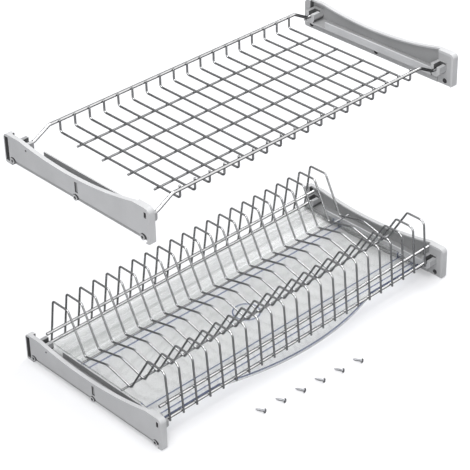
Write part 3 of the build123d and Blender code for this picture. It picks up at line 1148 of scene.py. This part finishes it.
@dataclass(frozen=True)
class MountingScrews:
    """The loose pan-head screws, with a cross recess and a rolled thread."""

    length: float = 16.0 * MM
    head_radius: float = 3.3 * MM
    neck: float = 2.2 * MM
    point: float = 4.0 * MM
    core: float = 1.15 * MM
    crest: float = 1.72 * MM
    pitch: float = 1.5 * MM
    recess: float = 1.1 * MM
    recess_reach: float = 1.9 * MM
    recess_width: float = 0.55 * MM
    recess_taper: float = 0.8
    recess_sharpness: int = 6
    head_profile: tuple[Point, ...] = (
        (0.78, 0.02), (0.92, 0.1), (1.0, 0.3), (1.0, 0.52), (0.62, 0.94))
    ridge_slope: float = 3.0
    tip_radius: float = 0.02 * MM
    columns: int = 24
    rows_per_turn: int = 6
    merge: float = 0.001 * MM
    head_share: float = 0.98

    def recess_radius(self, angle: float) -> float:
        """Radius of the cross recess's edge at an angle."""
        arm = abs(math.cos(2 * angle)) ** self.recess_sharpness
        return self.recess_width + arm * (self.recess_reach - self.recess_width)

    def rows(self) -> list[Callable[[float], Point]]:
        """Rings of the screw from the recess to the tip, each as (radius, height) at an angle.

        Returns:
            The rings, in order.
        """
        rings: list[Callable[[float], Point]] = [
            lambda angle: (self.recess_radius(angle) * self.recess_taper, self.recess),
            lambda angle: (self.recess_radius(angle), 0.0)]
        rings += [lambda angle, r=r, z=z: (r * self.head_radius, z * self.neck)
                  for r, z in self.head_profile]
        count = int((self.length - self.neck) / self.pitch * self.rows_per_turn)
        for row in range(count + 1):
            z = self.neck + (self.length - self.neck) * row / count
            rings.append(lambda angle, z=z: (self.thread_radius(z, angle), z))
        return rings

    def thread_radius(self, z: float, angle: float) -> float:
        """Radius of the thread at a height and an angle.

        Args:
            z: The height.
            angle: The angle.

        Returns:
            The radius.
        """
        turn = (z / self.pitch - angle / math.tau) % 1.0
        ridge = max(0.0, 1.0 - self.ridge_slope * abs(turn - 0.5)) * (self.crest - self.core)
        taper = min(1.0, (self.length - z) / self.point)
        return max((self.core + ridge) * taper, self.tip_radius)

    def shape(self, bm: bmesh.types.BMesh) -> None:
        """Fills a mesh with one screw, its head at the origin and its tip along Z.

        Args:
            bm: The mesh.
        """
        grid = []
        for ring in self.rows():
            loop = []
            for column in range(self.columns):
                angle = math.tau * column / self.columns
                radius, z = ring(angle)
                loop.append(bm.verts.new((radius * math.cos(angle), radius * math.sin(angle), z)))
            grid.append(loop)
        for above, below in zip(grid, grid[1:]):
            for column in range(self.columns):
                after = (column + 1) % self.columns
                bm.faces.new((above[column], below[column], below[after], above[after]))
        bm.faces.new(grid[0])
        bm.faces.new(grid[-1])
        bmesh.ops.recalc_face_normals(bm, faces=bm.faces)
        for face in bm.faces:
            face.smooth = len(face.verts) == 4

    def places(self, node: bpy.types.Object) -> list[Blob]:
        """Finds where each packed screw lies.

        Args:
            node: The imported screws.

        Returns:
            The middle of each head, with the axis towards the tip.
        """
        bm = bmesh.new()
        bm.from_mesh(node.data)
        bmesh.ops.remove_doubles(bm, verts=bm.verts, dist=self.merge)
        left, blobs = set(bm.verts), []
        while left:
            island, edge = set(), {left.pop()}
            while edge:
                island |= edge
                edge = {e.other_vert(v) for v in edge for e in v.link_edges} - island
            left -= island
            middle = sum((v.co for v in island), Vector()) / len(island)
            tip = max(island, key=lambda v: (v.co - middle).length).co
            far = [v.co for v in island if (v.co - tip).length > self.head_share * self.length]
            low = Vector([min(p[i] for p in far) for i in range(3)])
            high = Vector([max(p[i] for p in far) for i in range(3)])
            axis = (tip - (low + high) / 2).normalized()
            blobs.append(Blob(tip - axis * self.length, 1.0, axis))
        bm.free()
        return blobs

    def dress(self, frame: dict[str, Any], metal: bpy.types.Material) -> None:
        """Makes all the screws.

        Args:
            frame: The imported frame.
            metal: Their finish.
        """
        blobs = self.places(frame["nodes"]["mounting_screws"])
        piece = scatter("threaded_screws", blobs, self.shape, flatness=1.0, material=metal)
        hand_over(piece, Body.BRACKETS, ["mounting_screws"])


# Studio


@dataclass(frozen=True)
class Lamp:
    """A soft square lamp that points at the object."""

    name: str
    place: Triple
    size: float
    power: float
    target: Triple = (0.0, 0.0, 0.15)

    def hang(self) -> None:
        """Hangs the lamp."""
        data = bpy.data.lights.new(self.name, "AREA")
        data.shape = "SQUARE"
        data.size = self.size
        data.energy = self.power
        lamp = link(bpy.data.objects.new(self.name, data))
        turn = (Vector(self.target) - Vector(self.place)).to_track_quat("-Z", "Y")
        lamp.matrix_world = Matrix.Translation(Vector(self.place)) @ turn.to_matrix().to_4x4()


@dataclass(frozen=True)
class Studio:
    """Floor, soft light and the camera at the photograph's viewing angle.

    The floor has a tone for the eye, one for bounced light and one for mirror images, and glows
    more far away. The surround is white for the eye and grey as a light, and in mirror images it
    runs from grey at the lower left to white at the upper right.
    """

    lens_pixels: float = 1715.0
    frame_pixels: float = 470.0
    sensor: float = 36.0
    azimuth: float = math.radians(-42.834)
    elevation: float = math.radians(33.117)
    roll: float = math.radians(-1.428)
    place: Triple = (-1.3726, -1.43947, 1.4506)
    clip: Point = (0.05, 50.0)
    floor_size: float = 12.0
    floor_tint: Triple = (0.62, 0.62, 0.632)
    floor_bounce: Triple = (0.46, 0.46, 0.47)
    floor_mirrored: Triple = (0.27, 0.27, 0.276)
    floor_roughness: float = 0.9
    near: float = 0.7
    near_glow: float = 0.24
    far: float = 2.6
    far_glow: float = 0.74
    surround: Triple = (0.46, 0.468, 0.48)
    shade: Triple = (0.46, 0.465, 0.475)
    shade_base: float = 0.45
    shade_across: float = 0.5
    shade_up: float = 0.3
    shade_start: float = 0.2
    shade_end: float = 0.85
    lamps: tuple[Lamp, ...] = (Lamp("key", (-0.3, -0.1, 2.6), 1.7, 46.0),
                               Lamp("side", (2.3, 0.4, 1.7), 1.5, 38.0),
                               Lamp("fill", (-1.9, -1.7, 1.5), 1.6, 41.0))

    def camera(self) -> None:
        """Places the camera."""
        a, e = self.azimuth, self.elevation
        back = Vector((math.sin(a) * math.cos(e), -math.cos(a) * math.cos(e), math.sin(e)))
        right = (-back).cross(Vector((0, 0, 1))).normalized()
        up = right.cross(-back)
        c, s = math.cos(self.roll), math.sin(self.roll)
        right, up = c * right + s * up, -s * right + c * up
        data = bpy.data.cameras.new("camera")
        data.sensor_width = self.sensor
        data.lens = self.lens_pixels / self.frame_pixels * self.sensor
        data.clip_start, data.clip_end = self.clip
        camera = link(bpy.data.objects.new("camera", data))
        turn = Matrix((right, up, back)).transposed().to_4x4()
        camera.matrix_world = Matrix.Translation(Vector(self.place)) @ turn
        bpy.context.scene.camera = camera

    def floor(self) -> None:
        """Makes a white floor that keeps the object's shadow."""
        half = self.floor_size / 2

        def build(bm: bmesh.types.BMesh) -> None:
            """Fills the mesh with one square.

            Args:
                bm: The mesh.
            """
            corners = [bm.verts.new((x, y, 0)) for x, y in
                       ((-half, -half), (half, -half), (half, half), (-half, half))]
            bm.faces.new(corners)

        obj = mesh_object("floor", build)
        material, sheet, shader = new_material("white floor")
        shader.inputs["Roughness"].default_value = self.floor_roughness
        shader.inputs["Specular IOR Level"].default_value = 0.0
        path = sheet.add("ShaderNodeLightPath")
        seen = sheet.math("MAXIMUM", path.outputs["Is Camera Ray"],
                          path.outputs["Is Transmission Ray"])
        unseen = sheet.blend(path.outputs["Is Glossy Ray"], self.floor_bounce, self.floor_mirrored)
        sheet.join(sheet.blend(seen, unseen, self.floor_tint), shader.inputs["Base Color"])
        place = sheet.add("ShaderNodeTexCoord")
        away = sheet.add("ShaderNodeVectorMath", operation="LENGTH")
        sheet.join(place.outputs["Object"], away.inputs[0])
        level = sheet.spread(away.outputs["Value"], self.near, self.far, self.near_glow, self.far_glow)
        glow = sheet.add("ShaderNodeEmission")
        sheet.join(sheet.math("MULTIPLY", seen, level), glow.inputs["Strength"])
        both = sheet.add("ShaderNodeAddShader")
        sheet.join(shader.outputs[0], both.inputs[0])
        sheet.join(glow.outputs[0], both.inputs[1])
        sheet.join(both.outputs[0], material.node_tree.nodes["Material Output"].inputs["Surface"])
        set_material(obj, material)

    def world(self) -> None:
        """Makes the surround, white for the eye and greyer as a light and in mirror images."""
        world = bpy.data.worlds.new("studio")
        world.use_nodes = True
        bpy.context.scene.world = world
        sheet = Sheet(world.node_tree)
        ground = world.node_tree.nodes["Background"]
        path = sheet.add("ShaderNodeLightPath")
        axes = sheet.axes("Generated")
        across = sheet.math("MULTIPLY_ADD", axes["X"], self.shade_across, self.shade_base)
        level = sheet.math("MULTIPLY_ADD", axes["Z"], self.shade_up, across)
        mirrored = sheet.blend(sheet.spread(level, self.shade_start, self.shade_end),
                               self.shade, WHITE)
        unseen = sheet.blend(path.outputs["Is Glossy Ray"], self.surround, mirrored)
        seen = sheet.math("MAXIMUM", path.outputs["Is Camera Ray"],
                          path.outputs["Is Transmission Ray"])
        sheet.join(sheet.blend(seen, unseen, WHITE), ground.inputs["Color"])

    def build(self) -> None:
        """Sets up the whole studio."""
        bpy.context.scene.view_settings.view_transform = "Standard"
        self.camera()
        self.floor()
        self.world()
        for lamp in self.lamps:
            lamp.hang()


def main() -> None:
    """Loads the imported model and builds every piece."""
    logging.basicConfig(level=logging.INFO)
    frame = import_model()
    Studio().build()
    rail, wire = RAIL_PLATE.build(), WIRE_PLATE.build()
    plastic, clear, zinc = BRACKET_PLASTIC.build(), TRAY_PLASTIC.build(), SCREW_PLATE.build()
    SideBrackets().dress(frame, plastic)
    DripTray().dress(frame, clear)
    MountingScrews().dress(frame, zinc)
    plates = PlateRack(
        Body.PLATE_RACK, "plate_wire_",
        ("plate_rack_rear_rail", "plate_rack_front_rail", "plate_rack_rear_upper_wire",
         "plate_rack_front_upper_wire"),
        ("plate_rack_rear_floor_wire", "plate_rack_front_floor_wire"))
    glasses = GlassRack(
        Body.GLASS_RACK, "glass_wire_", ("glass_rack_rear_rail", "glass_rack_front_rail"),
        tuple(f"glass_rack_floor_wire_{number}" for number in range(1, 5)))
    for rack in (plates, glasses):
        rack.dress(frame, rail, wire)
        rack.beads(wire)
        rack.ends(wire)


if __name__ == "__main__":
    main()
